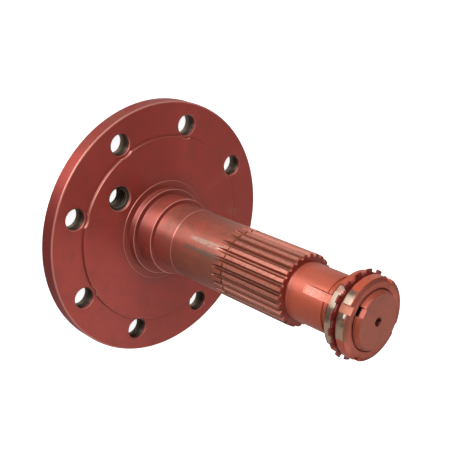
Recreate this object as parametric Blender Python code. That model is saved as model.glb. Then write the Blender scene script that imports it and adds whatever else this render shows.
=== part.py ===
# Wheel axle shaft: a one-piece forging with a drilled wheel flange, ground seats, a splined body and a
# threaded end that carries two slotted ring nuts with a tabbed lock washer between them.
# Metres, +Z up. The flange's outboard face lies on z = 0 and the shaft stands up from it along +Z.
# Angles are in degrees about +Z, counted from +X.
import math

import bmesh
import bpy
from mathutils import Matrix, Vector

MM = 0.001
GAP = 0.3 * MM                     # clearance kept between pieces that touch

# Body, from which the seats step up towards the flange and down towards the threaded end
BODY_R = 31.75 * MM
BODY_LENGTH = 135.8 * MM           # bearing seat to the end of the spline

# Bearing seat, seal seat, hub boss and low ring, each a shoulder higher than the last
BEARING_STEP = 0.45 * MM
BEARING_LENGTH = 23.3 * MM
BEARING_FILLET_R = 0.7 * MM
BEARING_LEAD = 1.1 * MM            # short taper from the bearing seat down to the body
SEAL_STEP = 4.3 * MM
SEAL_LENGTH = 18.1 * MM
SEAL_FILLET_R = 0.9 * MM
SEAL_CHAMFER = 0.8 * MM
BOSS_STEP = 5.2 * MM
BOSS_HEIGHT = 6.4 * MM
BOSS_FILLET_R = 0.9 * MM
BOSS_CHAMFER = 0.4 * MM
RING_STEP = 6.8 * MM
RING_HEIGHT = 0.7 * MM

# Wheel flange with its bolt holes. A spot face round each hole nicks the raised step.
BOLT_COUNT = 8
BOLT_CIRCLE_R = 101.6 * MM
BOLT_HOLE_R = 9.6 * MM
BOLT_CHAMFER = 1.1 * MM
BOLT_PHASE = -124.03
SPOT_FACE_R = 14.6 * MM
SPOT_FACE_DEPTH = 0.12 * MM
FLANGE_EDGE = 21.6 * MM            # bolt circle to the rim
FLANGE_T = 14.8 * MM               # outboard face to the outer annulus
FLANGE_BACK_CHAMFER = 0.8 * MM
FLANGE_EDGE_R = 1.5 * MM           # rounding of the inboard edge
RELIEF_R = 40.0 * MM               # shallow turned relief in the outboard face
RELIEF_DEPTH = 2.0 * MM

# Raised step and web
STEP_CLEAR = 10.9 * MM             # bolt circle to the step
STEP_HEIGHT = 2.7 * MM
STEP_FILLET_R = 5.5 * MM           # the step runs out into the annulus in this radius
STEP_CHAMFER = 0.4 * MM
WEB_RISE = 0.8 * MM                # the web climbs this much towards the hub

# Jacking holes through the web
JACK_COUNT = 2
JACK_CLEAR = 17.0 * MM             # low ring to the holes' circle
JACK_HOLE_R = 10.0 * MM
JACK_CHAMFER = 2.1 * MM
JACK_PHASE = -100.7

# Spline cut into the body
TEETH = 26
TOOTH_PHASE = -91.6                # middle of one tooth
TOOTH_DEPTH = 2.85 * MM
SPLINE_LENGTH = 67.6 * MM          # full-depth length, back from the spline's end
SPACE_FLOOR = 2.0 * MM             # width of the space at its floor
FLANK_ANGLE = 25.0                 # each flank leans this far from the space's middle plane
RUNOUT_CUTTER_R = 31.0 * MM        # the cutter's radius, which shapes the run-out
SPLINE_CHAMFER = 0.9 * MM
RING_GROOVE_PAST = 1.0 * MM        # groove's centre, past the full-depth length
RING_GROOVE_W = 1.4 * MM
RING_GROOVE_DEPTH = 1.4 * MM

# Journal, thread relief, thread and end
JOURNAL_STEP = 3.7 * MM            # spline root down to the journal
JOURNAL_LENGTH = 38.7 * MM
JOURNAL_FILLET_R = 1.2 * MM
THREAD_STEP = 0.4 * MM             # the thread is this much lower than the journal
THREAD_LENGTH = 30.1 * MM
THREAD_RELIEF_DEPTH = 0.9 * MM
THREAD_RELIEF_LENGTH = 3.1 * MM
END_CHAMFER_R = 2.2 * MM           # radial part of the end chamfer
END_CHAMFER_LENGTH = 3.15 * MM
CENTRE_MOUTH_R = 3.8 * MM
CENTRE_PILOT_R = 1.7 * MM
CENTRE_PILOT_DEPTH = 4.5 * MM

# Keyway, cut by a disc cutter that runs out at the inner end
KEY_PHASE = -95.85
KEY_WIDTH = 8.0 * MM
KEY_DEPTH = 4.6 * MM               # journal's surface to the flat floor
KEY_LENGTH = 58.65 * MM            # where the run-out begins, back from the shaft's end
KEY_CUTTER_R = 40.0 * MM

# Ring nuts, chamfered on their outer edges and slotted for a hook spanner
NUT_WALL = 9.5 * MM                # thread to the nut's outside
NUT_FACE_STEP = 3.7 * MM           # radial part of the wide chamfers
NUT_SLOTS = 4
NUT_SLOT_W = 7.2 * MM
NUT_SLOT_DEPTH = 3.3 * MM
NUT_BORE_CHAMFER = 1.1 * MM
INNER_NUT_START = 9.9 * MM         # from the journal's end to the nut's back face
INNER_NUT_T = 8.0 * MM
INNER_NUT_BACK_CHAMFER = 1.9 * MM
INNER_NUT_EDGE = 0.4 * MM          # broken edge of the face that the washer lies on
OUTER_NUT_T = 12.3 * MM
OUTER_NUT_BACK_CHAMFER = 3.4 * MM
OUTER_NUT_FRONT_CHAMFER = 1.3 * MM
OUTER_NUT_SLOT_PHASE = -91.0

# Lock washer: tabs all round, a tongue in the keyway, one narrow tab bent back into the inner nut's slot
WASHER_T = 1.3 * MM
WASHER_ROOT_STEP = 0.4 * MM        # root circle inside the nuts' outside
WASHER_TAB_LENGTH = 3.3 * MM
WASHER_TABS = 17
WASHER_TAB_W = 6.5 * MM
WASHER_TAB_PHASE = -98.2
BENT_TAB_W = 3.0 * MM
BENT_TAB_SLIT = 0.45 * MM
BENT_TAB_BEND_R = 1.4 * MM         # inside radius of the bend
BENT_TAB_LEG = 3.0 * MM            # straight part past the bend
BENT_TAB_SIDE_GAP = 0.35 * MM      # from the bent tab to the slot's wall

# Facets
LATHE_STEPS = 78
HOLE_STEPS = 24
SPOT_STEPS = 30
NUT_STEPS = 64
BORE_STEPS = 48

# Radii, each from its neighbour and the shoulder between them
BEARING_R = BODY_R + BEARING_STEP
SEAL_R = BEARING_R + SEAL_STEP
BOSS_R = SEAL_R + BOSS_STEP
RING_R = BOSS_R + RING_STEP
FLANGE_R = BOLT_CIRCLE_R + FLANGE_EDGE
STEP_R = BOLT_CIRCLE_R - STEP_CLEAR
JACK_CIRCLE_R = RING_R + JACK_CLEAR
ROOT_R = BODY_R - TOOTH_DEPTH
JOURNAL_R = ROOT_R - JOURNAL_STEP
THREAD_R = JOURNAL_R - THREAD_STEP
THREAD_RELIEF_R = THREAD_R - THREAD_RELIEF_DEPTH
KEY_FLOOR_R = JOURNAL_R - KEY_DEPTH
NUT_BORE_R = THREAD_R + GAP
NUT_R = THREAD_R + NUT_WALL
NUT_FACE_R = NUT_R - NUT_FACE_STEP
SLOT_FLOOR_R = NUT_R - NUT_SLOT_DEPTH
WASHER_ROOT_R = NUT_R - WASHER_ROOT_STEP
WASHER_TIP_R = WASHER_ROOT_R + WASHER_TAB_LENGTH

# Levels along the shaft
Z_STEP = FLANGE_T + STEP_HEIGHT
Z_WEB_TOP = Z_STEP + WEB_RISE
Z_RING = Z_WEB_TOP + RING_HEIGHT
Z_BOSS = Z_RING + BOSS_HEIGHT
Z_SEAL = Z_BOSS + SEAL_LENGTH
Z_BEARING = Z_SEAL + BEARING_LENGTH
Z_SPLINE_END = Z_BEARING + BODY_LENGTH
Z_RING_GROOVE = Z_SPLINE_END - SPLINE_LENGTH - RING_GROOVE_PAST
Z_JOURNAL = Z_SPLINE_END + JOURNAL_LENGTH
Z_THREAD = Z_JOURNAL + THREAD_RELIEF_LENGTH
Z_CHAMFER = Z_THREAD + THREAD_LENGTH
Z_END = Z_CHAMFER + END_CHAMFER_LENGTH
KEY_RUNOUT = math.sqrt(KEY_CUTTER_R ** 2 - (KEY_CUTTER_R - KEY_DEPTH) ** 2)
Z_NUT1 = Z_JOURNAL + INNER_NUT_START
Z_NUT1_FRONT = Z_NUT1 + INNER_NUT_T
Z_WASHER = Z_NUT1_FRONT + GAP
Z_NUT2 = Z_WASHER + WASHER_T + GAP

# Where the bent tab lies: beside the tab before it, with its slit between. The inner nut's slot takes it.
TAB_PITCH = 360.0 / WASHER_TABS
HALF_TAB = math.degrees(math.asin(WASHER_TAB_W / 2 / WASHER_ROOT_R))
HALF_NOTCH = math.degrees(math.asin((BENT_TAB_W / 2 + BENT_TAB_SLIT) / WASHER_ROOT_R))
TAB_MARGIN = 0.15                  # degrees
BENT_TAB_AT = WASHER_TAB_PHASE - TAB_PITCH + HALF_TAB + TAB_MARGIN + HALF_NOTCH
BENT_TAB_LEG_R = SLOT_FLOOR_R + BENT_TAB_BEND_R
INNER_NUT_SLOT_PHASE = BENT_TAB_AT + math.degrees(
    math.asin((BENT_TAB_W / 2 + BENT_TAB_SIDE_GAP) / BENT_TAB_LEG_R)
    - math.asin(NUT_SLOT_W / 2 / BENT_TAB_LEG_R))


def clear_scene():
    for obj in list(bpy.data.objects):
        bpy.data.objects.remove(obj, do_unlink=True)


def material(name, colour, roughness, metallic):
    mat = bpy.data.materials.new(name)
    mat.use_nodes = True
    shader = mat.node_tree.nodes["Principled BSDF"]
    shader.inputs["Base Color"].default_value = (*colour, 1.0)
    shader.inputs["Roughness"].default_value = roughness
    shader.inputs["Metallic"].default_value = metallic
    mat.diffuse_color = (*colour, 1.0)
    return mat


def add_object(name, bm, mat=None):
    bmesh.ops.recalc_face_normals(bm, faces=bm.faces)
    mesh = bpy.data.meshes.new(name)
    bm.to_mesh(mesh)
    bm.free()
    if mat:
        mesh.materials.append(mat)
        mesh.shade_smooth()
        mesh.set_sharp_from_angle(angle=math.radians(28.0))
    obj = bpy.data.objects.new(name, mesh)
    bpy.context.scene.collection.objects.link(obj)
    return obj


def cut(obj, cutter):
    cutter.hide_render = True
    cutter.display_type = "WIRE"
    mod = obj.modifiers.new(cutter.name, "BOOLEAN")
    mod.operation = "DIFFERENCE"
    mod.solver = "EXACT"
    mod.object = cutter


def finish(obj):
    # Take the cut shape as the object's own mesh, so that its new edges are shaded sharp, and drop the cutters
    mesh = bpy.data.meshes.new_from_object(obj.evaluated_get(bpy.context.evaluated_depsgraph_get()))
    cutters = [mod.object for mod in obj.modifiers]
    obj.modifiers.clear()
    mesh.name = obj.name
    obj.data = mesh
    mesh.shade_smooth()
    mesh.set_sharp_from_angle(angle=math.radians(28.0))
    for cutter in cutters:
        bpy.data.objects.remove(cutter, do_unlink=True)


def arc(centre, radius, start, end, steps):
    # Points of a circular arc in the (r, z) half-plane, ends included
    return [(centre[0] + radius * math.cos(math.radians(start + (end - start) * i / steps)),
             centre[1] + radius * math.sin(math.radians(start + (end - start) * i / steps)))
            for i in range(steps + 1)]


def revolve(bm, profile, steps, closed, start=0.0):
    # Spin an (r, z) profile about Z. A closed profile makes a ring; an open one is capped at both ends.
    turn = Matrix.Rotation(math.radians(start), 3, "Z")
    verts = [bm.verts.new(turn @ Vector((r, 0.0, z))) for r, z in profile]
    edges = [bm.edges.new((a, b)) for a, b in zip(verts, verts[1:])]
    if closed:
        edges.append(bm.edges.new((verts[-1], verts[0])))
    bmesh.ops.spin(bm, geom=verts + edges, cent=(0, 0, 0), axis=(0, 0, 1),
                   angle=2.0 * math.pi, steps=steps, use_merge=True, use_duplicate=False)
    if not closed:
        bmesh.ops.holes_fill(bm, edges=[e for e in bm.edges if e.is_boundary], sides=0)


def extrude(bm, faces, vec):
    # Extrude these faces by vec and return the moved faces
    edges = {e for f in faces for e in f.edges}
    grown = bmesh.ops.extrude_face_region(bm, geom=faces + list(edges))["geom"]
    bmesh.ops.translate(bm, verts=[g for g in grown if isinstance(g, bmesh.types.BMVert)], vec=vec)
    return [g for g in grown if isinstance(g, bmesh.types.BMFace)]


def polar(radius, degrees, z=0.0):
    return Vector((radius * math.cos(math.radians(degrees)), radius * math.sin(math.radians(degrees)), z))


def turned_profile():
    # The shaft's outside, from the outboard face round the flange's rim and along to the end
    pts = [(FLANGE_R - FLANGE_BACK_CHAMFER, 0.0), (FLANGE_R, FLANGE_BACK_CHAMFER)]
    pts += arc((FLANGE_R - FLANGE_EDGE_R, FLANGE_T - FLANGE_EDGE_R), FLANGE_EDGE_R, 0, 90, 2)
    climb = STEP_HEIGHT - STEP_CHAMFER
    sweep = math.degrees(math.acos(1.0 - climb / STEP_FILLET_R))
    spread_r = STEP_R + STEP_FILLET_R * math.sin(math.radians(sweep))
    pts += arc((spread_r, FLANGE_T + STEP_FILLET_R), STEP_FILLET_R, 270, 270 - sweep, 2)
    pts += [(STEP_R - STEP_CHAMFER, Z_STEP)]
    pts += [(RING_R, Z_WEB_TOP), (RING_R, Z_RING)]
    pts += arc((BOSS_R + BOSS_FILLET_R, Z_RING + BOSS_FILLET_R), BOSS_FILLET_R, 270, 180, 2)
    pts += [(BOSS_R, Z_BOSS - BOSS_CHAMFER), (BOSS_R - BOSS_CHAMFER, Z_BOSS)]
    pts += arc((SEAL_R + SEAL_FILLET_R, Z_BOSS + SEAL_FILLET_R), SEAL_FILLET_R, 270, 180, 2)
    pts += [(SEAL_R, Z_SEAL - SEAL_CHAMFER), (SEAL_R - SEAL_CHAMFER, Z_SEAL)]
    pts += arc((BEARING_R + BEARING_FILLET_R, Z_SEAL + BEARING_FILLET_R), BEARING_FILLET_R, 270, 180, 2)
    pts += [(BEARING_R, Z_BEARING), (BODY_R, Z_BEARING + BEARING_LEAD)]
    low, high = Z_RING_GROOVE - RING_GROOVE_W / 2, Z_RING_GROOVE + RING_GROOVE_W / 2
    pts += [(BODY_R, low), (BODY_R - RING_GROOVE_DEPTH, low), (BODY_R - RING_GROOVE_DEPTH, high), (BODY_R, high)]
    pts += [(BODY_R, Z_SPLINE_END - SPLINE_CHAMFER), (BODY_R - SPLINE_CHAMFER, Z_SPLINE_END)]
    pts += arc((JOURNAL_R + JOURNAL_FILLET_R, Z_SPLINE_END + JOURNAL_FILLET_R), JOURNAL_FILLET_R, 270, 180, 2)
    pts += [(JOURNAL_R, Z_JOURNAL), (THREAD_RELIEF_R, Z_JOURNAL), (THREAD_RELIEF_R, Z_THREAD)]
    pts += [(THREAD_R, Z_THREAD + THREAD_RELIEF_DEPTH), (THREAD_R, Z_CHAMFER)]
    pts += [(THREAD_R - END_CHAMFER_R, Z_END)]
    return pts


def add_turned(bm, profile, place):
    # A turned solid put in place among the others of bm
    part = bmesh.new()
    revolve(part, profile, HOLE_STEPS, False)
    bmesh.ops.recalc_face_normals(part, faces=part.faces)
    bmesh.ops.translate(part, verts=part.verts, vec=place)
    mesh = bpy.data.meshes.new("turned")
    part.to_mesh(mesh)
    part.free()
    bm.from_mesh(mesh)
    bpy.data.meshes.remove(mesh)


def hole_cutter(name, radius, chamfer, low, high, places):
    # Through holes with a 45 degree chamfer where they leave each face
    over = 1.0 * MM
    profile = [(radius + chamfer + over, low - over), (radius, low + chamfer),
               (radius, high - chamfer), (radius + chamfer + over, high + over)]
    bm = bmesh.new()
    for place in places:
        add_turned(bm, profile, place)
    return add_object(name, bm)


def disc_cutter(name, radius, low, high, places, steps):
    bm = bmesh.new()
    for place in places:
        bmesh.ops.create_cone(bm, cap_ends=True, segments=steps, radius1=radius, radius2=radius, depth=high - low,
                              matrix=Matrix.Translation(place + Vector((0, 0, (low + high) / 2))))
    return add_object(name, bm)


def milled_path(floor_r, surface_r, z_full, z_end, cutter_r, steps):
    # (r, z) of a disc cutter's lowest edge: down along the cutter's own arc to z_full, then straight to z_end
    over = 1.5 * MM
    deep = surface_r - floor_r + over
    reach = math.sqrt(cutter_r ** 2 - (cutter_r - deep) ** 2)
    turn = math.asin(reach / cutter_r)
    pts = [(floor_r + cutter_r * (1.0 - math.cos(turn * i / steps)), z_full - cutter_r * math.sin(turn * i / steps))
           for i in range(steps, -1, -1)]
    return pts + [(floor_r, z_end)]


def milled_cutter(name, path, section, angles):
    # One bar for each angle: the section, as (offset, height above the floor), extruded along the path
    bm = bmesh.new()
    for angle in angles:
        out = polar(1.0, angle)
        side = Vector((-out.y, out.x, 0.0))
        r, z = path[0]
        face = bm.faces.new([bm.verts.new(side * s + out * (r + h) + Vector((0, 0, z))) for s, h in section])
        for (ra, za), (rb, zb) in zip(path, path[1:]):
            face = extrude(bm, [face], out * (rb - ra) + Vector((0, 0, zb - za)))[0]
    return add_object(name, bm)


def box_cutter(name, width, floor_r, top_r, low, high, angles):
    bm = bmesh.new()
    for angle in angles:
        place = (Matrix.Rotation(math.radians(angle), 4, "Z")
                 @ Matrix.Translation(((floor_r + top_r) / 2, 0.0, (low + high) / 2))
                 @ Matrix.Diagonal((top_r - floor_r, width, high - low, 1.0)))
        bmesh.ops.create_cube(bm, size=1.0, matrix=place)
    return add_object(name, bm)


def spread(count, phase):
    return [phase + 360.0 * i / count for i in range(count)]


def build_shaft(mat):
    bm = bmesh.new()
    revolve(bm, turned_profile(), LATHE_STEPS, False, TOOTH_PHASE)
    shaft = add_object("axle_shaft", bm, mat)

    bolts = [polar(BOLT_CIRCLE_R, a) for a in spread(BOLT_COUNT, BOLT_PHASE)]
    cut(shaft, disc_cutter("spot_faces", SPOT_FACE_R, FLANGE_T - SPOT_FACE_DEPTH, Z_STEP + MM, bolts, SPOT_STEPS))
    cut(shaft, hole_cutter("bolt_holes", BOLT_HOLE_R, BOLT_CHAMFER, 0.0, FLANGE_T, bolts))
    jacks = [polar(JACK_CIRCLE_R, a) for a in spread(JACK_COUNT, JACK_PHASE)]
    web_here = Z_STEP + WEB_RISE * (STEP_R - JACK_CIRCLE_R) / (STEP_R - RING_R)
    cut(shaft, hole_cutter("jack_holes", JACK_HOLE_R, JACK_CHAMFER, 0.0, web_here, jacks))
    cut(shaft, disc_cutter("relief", RELIEF_R, -MM, RELIEF_DEPTH, [Vector()], LATHE_STEPS))

    # Lathe centres: a 60 degree cone and a pilot drilled in each end
    bm = bmesh.new()
    for face, inward in ((Z_END, -1.0), (RELIEF_DEPTH, 1.0)):
        cone = (CENTRE_MOUTH_R - CENTRE_PILOT_R) / math.tan(math.radians(30.0))
        add_turned(bm, [(CENTRE_MOUTH_R + MM * math.tan(math.radians(30.0)), face - inward * MM),
                        (CENTRE_PILOT_R, face + inward * cone),
                        (CENTRE_PILOT_R, face + inward * (cone + CENTRE_PILOT_DEPTH))], Vector())
    cut(shaft, add_object("lathe_centres", bm))

    # Spline spaces: each section is a trapezoid, and the cutter lifts out of the body behind the ring groove
    top = BODY_R - ROOT_R + 2.0 * MM
    half = SPACE_FLOOR / 2
    wide = half + top * math.tan(math.radians(FLANK_ANGLE))
    path = milled_path(ROOT_R, BODY_R, Z_SPLINE_END - SPLINE_LENGTH, Z_SPLINE_END + MM, RUNOUT_CUTTER_R, 5)
    cut(shaft, milled_cutter("spline_spaces", path, [(-half, 0.0), (half, 0.0), (wide, top), (-wide, top)],
                             spread(TEETH, TOOTH_PHASE + 180.0 / TEETH)))

    top = JOURNAL_R - KEY_FLOOR_R + 2.0 * MM
    half = KEY_WIDTH / 2
    path = milled_path(KEY_FLOOR_R, JOURNAL_R, Z_END - KEY_LENGTH + KEY_RUNOUT, Z_END + MM, KEY_CUTTER_R, 7)
    cut(shaft, milled_cutter("keyway", path, [(-half, 0.0), (half, 0.0), (half, top), (-half, top)], [KEY_PHASE]))
    finish(shaft)


def build_nut(name, mat, low, high, back, front, slot_phase):
    # back and front are the (radius of the flat face, axial length) of each face's outer chamfer
    mouth = NUT_BORE_R + NUT_BORE_CHAMFER
    profile = [(mouth, low), (back[0], low), (NUT_R, low + back[1]), (NUT_R, high - front[1]), (front[0], high),
               (mouth, high), (NUT_BORE_R, high - NUT_BORE_CHAMFER), (NUT_BORE_R, low + NUT_BORE_CHAMFER)]
    bm = bmesh.new()
    revolve(bm, profile, NUT_STEPS, True)
    nut = add_object(name, bm, mat)
    cut(nut, box_cutter(name + "_slots", NUT_SLOT_W, SLOT_FLOOR_R, NUT_R + MM, low - MM, high + MM,
                        spread(NUT_SLOTS, slot_phase)))
    finish(nut)


def washer_point(radius, offset, degrees):
    # A point at this radius, offset sideways from the ray at this angle
    run = math.sqrt(radius ** 2 - offset ** 2)
    ray = polar(1.0, degrees)
    return Vector((run * ray.x - offset * ray.y, run * ray.y + offset * ray.x, Z_WASHER))


def build_washer(mat):
    # Outside: tabs with straight sides on the root circle, then the notch that frees the bent tab
    half, notch = WASHER_TAB_W / 2, BENT_TAB_W / 2 + BENT_TAB_SLIT
    outline = []
    for angle in spread(WASHER_TABS, WASHER_TAB_PHASE):
        outline.append(washer_point(WASHER_ROOT_R, -half, angle))
        outline += [washer_point(WASHER_TIP_R, half * k / 3, angle) for k in (-3, -1, 1, 3)]
        outline.append(washer_point(WASHER_ROOT_R, half, angle))
        gap = TAB_PITCH - 2 * HALF_TAB
        if angle < WASHER_TAB_PHASE + 360.0 - 1.5 * TAB_PITCH:
            outline += [polar(WASHER_ROOT_R, angle + HALF_TAB + gap * k / 3, Z_WASHER) for k in (1, 2)]
    outline.append(washer_point(WASHER_ROOT_R, -notch, BENT_TAB_AT))
    bent = len(outline) + 1
    outline += [washer_point(SLOT_FLOOR_R, offset, BENT_TAB_AT)
                for offset in (-notch, -BENT_TAB_W / 2, BENT_TAB_W / 2, notch)]
    outline.append(washer_point(WASHER_ROOT_R, notch, BENT_TAB_AT))

    # Inside: the bore, with the tongue that lies in the keyway
    tongue = KEY_WIDTH / 2 - GAP
    side = math.degrees(math.asin(tongue / NUT_BORE_R))
    inside = [polar(NUT_BORE_R, KEY_PHASE + side + (360.0 - 2 * side) * k / BORE_STEPS, Z_WASHER)
              for k in range(BORE_STEPS + 1)]
    reach = math.hypot(KEY_FLOOR_R + GAP, tongue)
    inside += [washer_point(reach, -tongue, KEY_PHASE), washer_point(reach, tongue, KEY_PHASE)]

    bm = bmesh.new()
    rings = [[bm.verts.new(p) for p in loop] for loop in (outline, inside)]
    edges = [bm.edges.new(pair) for ring in rings for pair in zip(ring, ring[1:] + ring[:1])]
    bmesh.ops.triangle_fill(bm, use_beauty=True, edges=edges, normal=(0, 0, 1))
    extrude(bm, list(bm.faces), Vector((0, 0, WASHER_T)))

    # The bent tab: the notch's inner wall is turned through a right angle, then drawn straight along the slot
    ends = rings[0][bent], rings[0][bent + 1]
    wall = [f for f in ends[0].link_faces if ends[1] in f.verts and len({round(v.co.z, 6) for v in f.verts}) > 1]
    root = (ends[0].co + ends[1].co) / 2
    turned = bmesh.ops.spin(bm, geom=wall + list(wall[0].edges), cent=root - Vector((0, 0, BENT_TAB_BEND_R)),
                            axis=Vector((0, 0, 1)).cross(polar(1.0, BENT_TAB_AT)), angle=math.pi / 2, steps=4)
    tip = [g for g in turned["geom_last"] if isinstance(g, bmesh.types.BMFace)]
    extrude(bm, tip, Vector((0, 0, -BENT_TAB_LEG)))
    add_object("tab_lock_washer", bm, mat)


clear_scene()
red_primer = material("red_primer", (0.235, 0.040, 0.034), 0.42, 0.0)
worn_nut = material("worn_nut", (0.40, 0.20, 0.17), 0.40, 0.35)
tab_red = material("tab_red", (0.20, 0.030, 0.026), 0.45, 0.0)
nut_red = material("nut_red", (0.33, 0.060, 0.045), 0.42, 0.10)
build_shaft(red_primer)
build_nut("inner_ring_nut", worn_nut, Z_NUT1, Z_NUT1_FRONT, (NUT_FACE_R, INNER_NUT_BACK_CHAMFER),
          (NUT_R - INNER_NUT_EDGE, INNER_NUT_EDGE), INNER_NUT_SLOT_PHASE)
build_washer(tab_red)
build_nut("outer_ring_nut", nut_red, Z_NUT2, Z_NUT2 + OUTER_NUT_T, (NUT_FACE_R, OUTER_NUT_BACK_CHAMFER),
          (NUT_FACE_R, OUTER_NUT_FRONT_CHAMFER), OUTER_NUT_SLOT_PHASE)
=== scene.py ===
import math

import bmesh
import bpy
from mathutils import Matrix, Vector


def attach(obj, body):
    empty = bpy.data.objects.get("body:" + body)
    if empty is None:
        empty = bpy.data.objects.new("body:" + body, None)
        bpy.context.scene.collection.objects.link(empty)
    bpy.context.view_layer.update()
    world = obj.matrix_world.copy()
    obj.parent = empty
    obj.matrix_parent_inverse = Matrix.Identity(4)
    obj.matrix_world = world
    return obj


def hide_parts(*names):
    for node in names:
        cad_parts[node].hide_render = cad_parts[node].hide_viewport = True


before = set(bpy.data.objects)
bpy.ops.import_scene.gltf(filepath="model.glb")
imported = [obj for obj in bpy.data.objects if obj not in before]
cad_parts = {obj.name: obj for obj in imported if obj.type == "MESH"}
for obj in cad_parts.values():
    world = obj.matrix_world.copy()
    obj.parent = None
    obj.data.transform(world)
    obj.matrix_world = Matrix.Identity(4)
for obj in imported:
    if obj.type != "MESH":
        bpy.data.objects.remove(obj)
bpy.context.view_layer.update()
MM = 0.001

# ---- Axle shaft: one steel forging, turned between centres, drilled, splined and threaded, then sprayed with red
# primer. The primer is thin and stained on the plain body and the spline, and thin along the turned edges, where a
# pale pink also paints highlights; shade is painted on its darker side and in its recesses.

BODY_R = 31.75 * MM
BEARING_R = 32.2 * MM
SEAL_R = 36.5 * MM
BOSS_R = 41.7 * MM
RING_R = 48.5 * MM
STEP_R = 90.7 * MM
FLANGE_R = 123.15 * MM
JOURNAL_R = 25.2 * MM
THREAD_RELIEF_R = 23.9 * MM
THREAD_R = 24.8 * MM
THREAD_PITCH = 1.5 * MM
END_R = 22.6 * MM
Z_FLANGE, Z_STEP, Z_WEB_TOP, Z_RING, Z_BOSS = 14.8 * MM, 17.5 * MM, 18.3 * MM, 19.0 * MM, 25.4 * MM
Z_SEAL, Z_BEARING, Z_SPLINE_END = 43.5 * MM, 66.8 * MM, 202.6 * MM
Z_JOURNAL, Z_THREAD, Z_CHAMFER, Z_END = 241.3 * MM, 244.4 * MM, 274.5 * MM, 277.65 * MM
GROOVE_Z, GROOVE_HALF, GROOVE_R = 134.0 * MM, 0.7 * MM, 30.35 * MM
RELIEF_R, RELIEF_DEPTH = 40.0 * MM, 2.0 * MM

BOLT_CIRCLE_R, BOLT_HOLE_R, BOLT_CHAMFER, BOLT_PHASE = 101.6 * MM, 9.6 * MM, 1.1 * MM, -124.03
SPOT_FACE_R, SPOT_FACE_Z = 12.6 * MM, 14.78 * MM
JACK_CIRCLE_R, JACK_PHASE, JACK_TOP_Z = 65.5 * MM, -100.7, 17.97 * MM
JACK_R, JACK_MINOR_R, JACK_MOUTH_R, JACK_LIP_R, JACK_PITCH = 10.6 * MM, 8.9 * MM, 12.6 * MM, 11.3 * MM, 3.0 * MM

TEETH, TOOTH_PHASE, ROOT_R, SPACE_FLOOR, FLANK_ANGLE = 26, -91.6, 28.9 * MM, 2.0 * MM, 25.0
FULL_DEPTH_Z, SPLINE_CUTTER_R = 135.0 * MM, 31.0 * MM
KEY_PHASE, KEY_WIDTH, KEY_FLOOR_R, KEY_CUTTER_R, KEY_START_Z = -95.85, 8.0 * MM, 20.6 * MM, 40.0 * MM, 219.0 * MM


def polar(radius, degrees, z=0.0):
    return Vector((radius * math.cos(math.radians(degrees)), radius * math.sin(math.radians(degrees)), z))


def turn(outline, steps, start=0.0, ring=False):
    # Turn an outline of (r, z, corner rounding) about the shaft's axis. An open outline is closed by end faces.
    bm = bmesh.new()
    spin_start = Matrix.Rotation(math.radians(start), 3, "Z")
    corners = [bm.verts.new(spin_start @ Vector((r, 0.0, z))) for r, z, _ in outline]
    for a, b in zip(corners, corners[1:] + corners[:1] if ring else corners[1:]):
        bm.edges.new((a, b))
    for corner, (_, _, rounding) in zip(corners, outline):
        if rounding:
            bmesh.ops.bevel(bm, geom=[corner], offset=rounding, offset_type="OFFSET", segments=4, profile=0.5,
                            affect="VERTICES", material=-1, clamp_overlap=True)
    bmesh.ops.spin(bm, geom=list(bm.verts) + list(bm.edges), cent=(0, 0, 0), axis=(0, 0, 1), angle=2 * math.pi,
                   steps=steps, use_merge=True, use_duplicate=False)
    bmesh.ops.remove_doubles(bm, verts=bm.verts, dist=1e-6)
    if not ring:
        bmesh.ops.holes_fill(bm, edges=[e for e in bm.edges if e.is_boundary], sides=0)
    bmesh.ops.recalc_face_normals(bm, faces=bm.faces)
    return bm


def threaded_rod(pitch, major, minor, low, high, steps):
    # One pitch of thread, swept up a helix and merged turn to turn, then trimmed flat at both ends
    bm = bmesh.new()
    section = [(minor, 0.0), (minor, 0.22), (major, 0.46), (major, 0.76), (minor, 1.0)]
    points = [bm.verts.new((r, 0.0, low - pitch + pitch * share)) for r, share in section]
    edges = [bm.edges.new(pair) for pair in zip(points, points[1:])]
    turns = math.ceil((high - low) / pitch) + 2
    bmesh.ops.spin(bm, geom=points + edges, cent=(0, 0, 0), axis=(0, 0, 1), dvec=(0, 0, pitch / steps),
                   angle=2 * math.pi * turns, steps=steps * turns, use_duplicate=False)
    bmesh.ops.remove_doubles(bm, verts=bm.verts, dist=2e-6)
    for level, side in ((low, -1), (high, 1)):
        bmesh.ops.bisect_plane(bm, geom=list(bm.verts) + list(bm.edges) + list(bm.faces), plane_co=(0, 0, level),
                               plane_no=(0, 0, side), clear_outer=True)
        bmesh.ops.holes_fill(bm, edges=[e for e in bm.edges if e.is_boundary
                                        and abs(e.verts[0].co.z - level) < 1e-6
                                        and abs(e.verts[1].co.z - level) < 1e-6], sides=0)
    bmesh.ops.recalc_face_normals(bm, faces=bm.faces)
    return bm


def moved(bm, place):
    bmesh.ops.translate(bm, verts=bm.verts, vec=place)
    return bm


def gather(parts):
    # Put several closed shapes into one mesh
    whole = bmesh.new()
    for bm in parts:
        mesh = bpy.data.meshes.new("part_of_whole")
        bm.to_mesh(mesh)
        bm.free()
        whole.from_mesh(mesh)
        bpy.data.meshes.remove(mesh)
    return whole


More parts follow.
